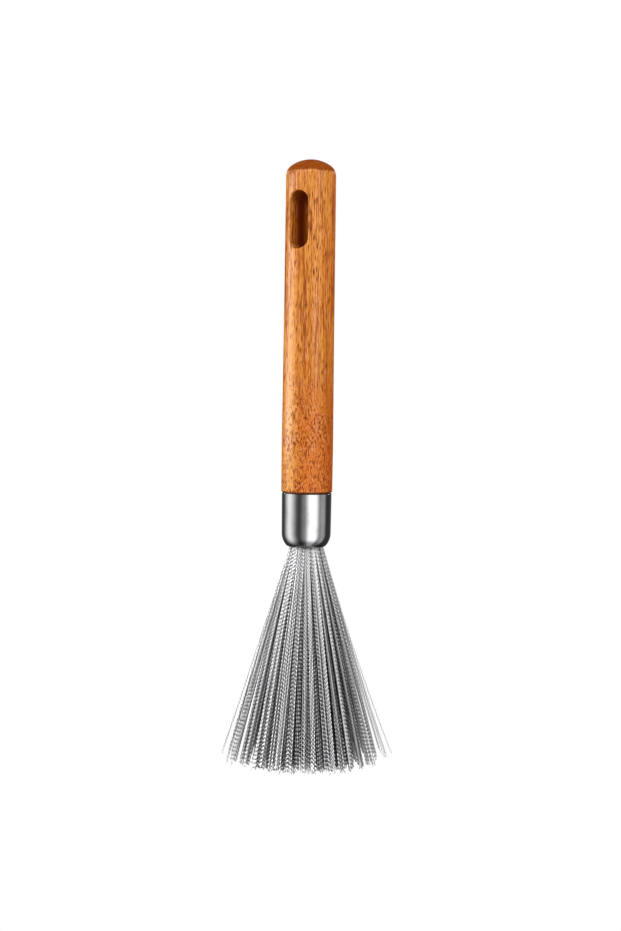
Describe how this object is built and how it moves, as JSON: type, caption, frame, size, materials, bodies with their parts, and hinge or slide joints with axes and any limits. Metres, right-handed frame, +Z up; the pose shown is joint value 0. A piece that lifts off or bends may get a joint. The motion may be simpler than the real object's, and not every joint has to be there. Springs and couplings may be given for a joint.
{
  "type": "pot brush",
  "caption": "Kitchen pot brush with a round wooden handle, a round-ended hanging slot, a polished steel ferrule and a wide fan of crimped steel wires.",
  "frame": {"origin": "the top of the hanging slot, midway through the handle, where the brush bears on a hook or peg", "axes": "+Z up along the handle's axis, away from the wires; Y along the hanging slot, through the handle; X across the slot"},
  "size_m": [0.069, 0.069, 0.2494],
  "materials": {
    "handle_wood": "satin lacquer over reddish brown wood",
    "ferrule_steel": "polished stainless sheet",
    "ring_steel": "plain drawn wire",
    "adhesive": "set clear adhesive",
    "wire_steel": "bright drawn wire, crimped"
  },
  "bodies": {
    "root": {"handle": "handle_wood", "ferrule": "ferrule_steel", "retaining_ring": "ring_steel", "adhesive_plug": "adhesive", "tuft_01": "wire_steel", "tuft_02": "wire_steel", "tuft_03": "wire_steel", "tuft_04": "wire_steel", "tuft_05": "wire_steel", "tuft_06": "wire_steel", "tuft_07": "wire_steel", "tuft_08": "wire_steel", "tuft_09": "wire_steel", "tuft_10": "wire_steel", "tuft_11": "wire_steel", "tuft_12": "wire_steel"}
  },
  "joints": []
}
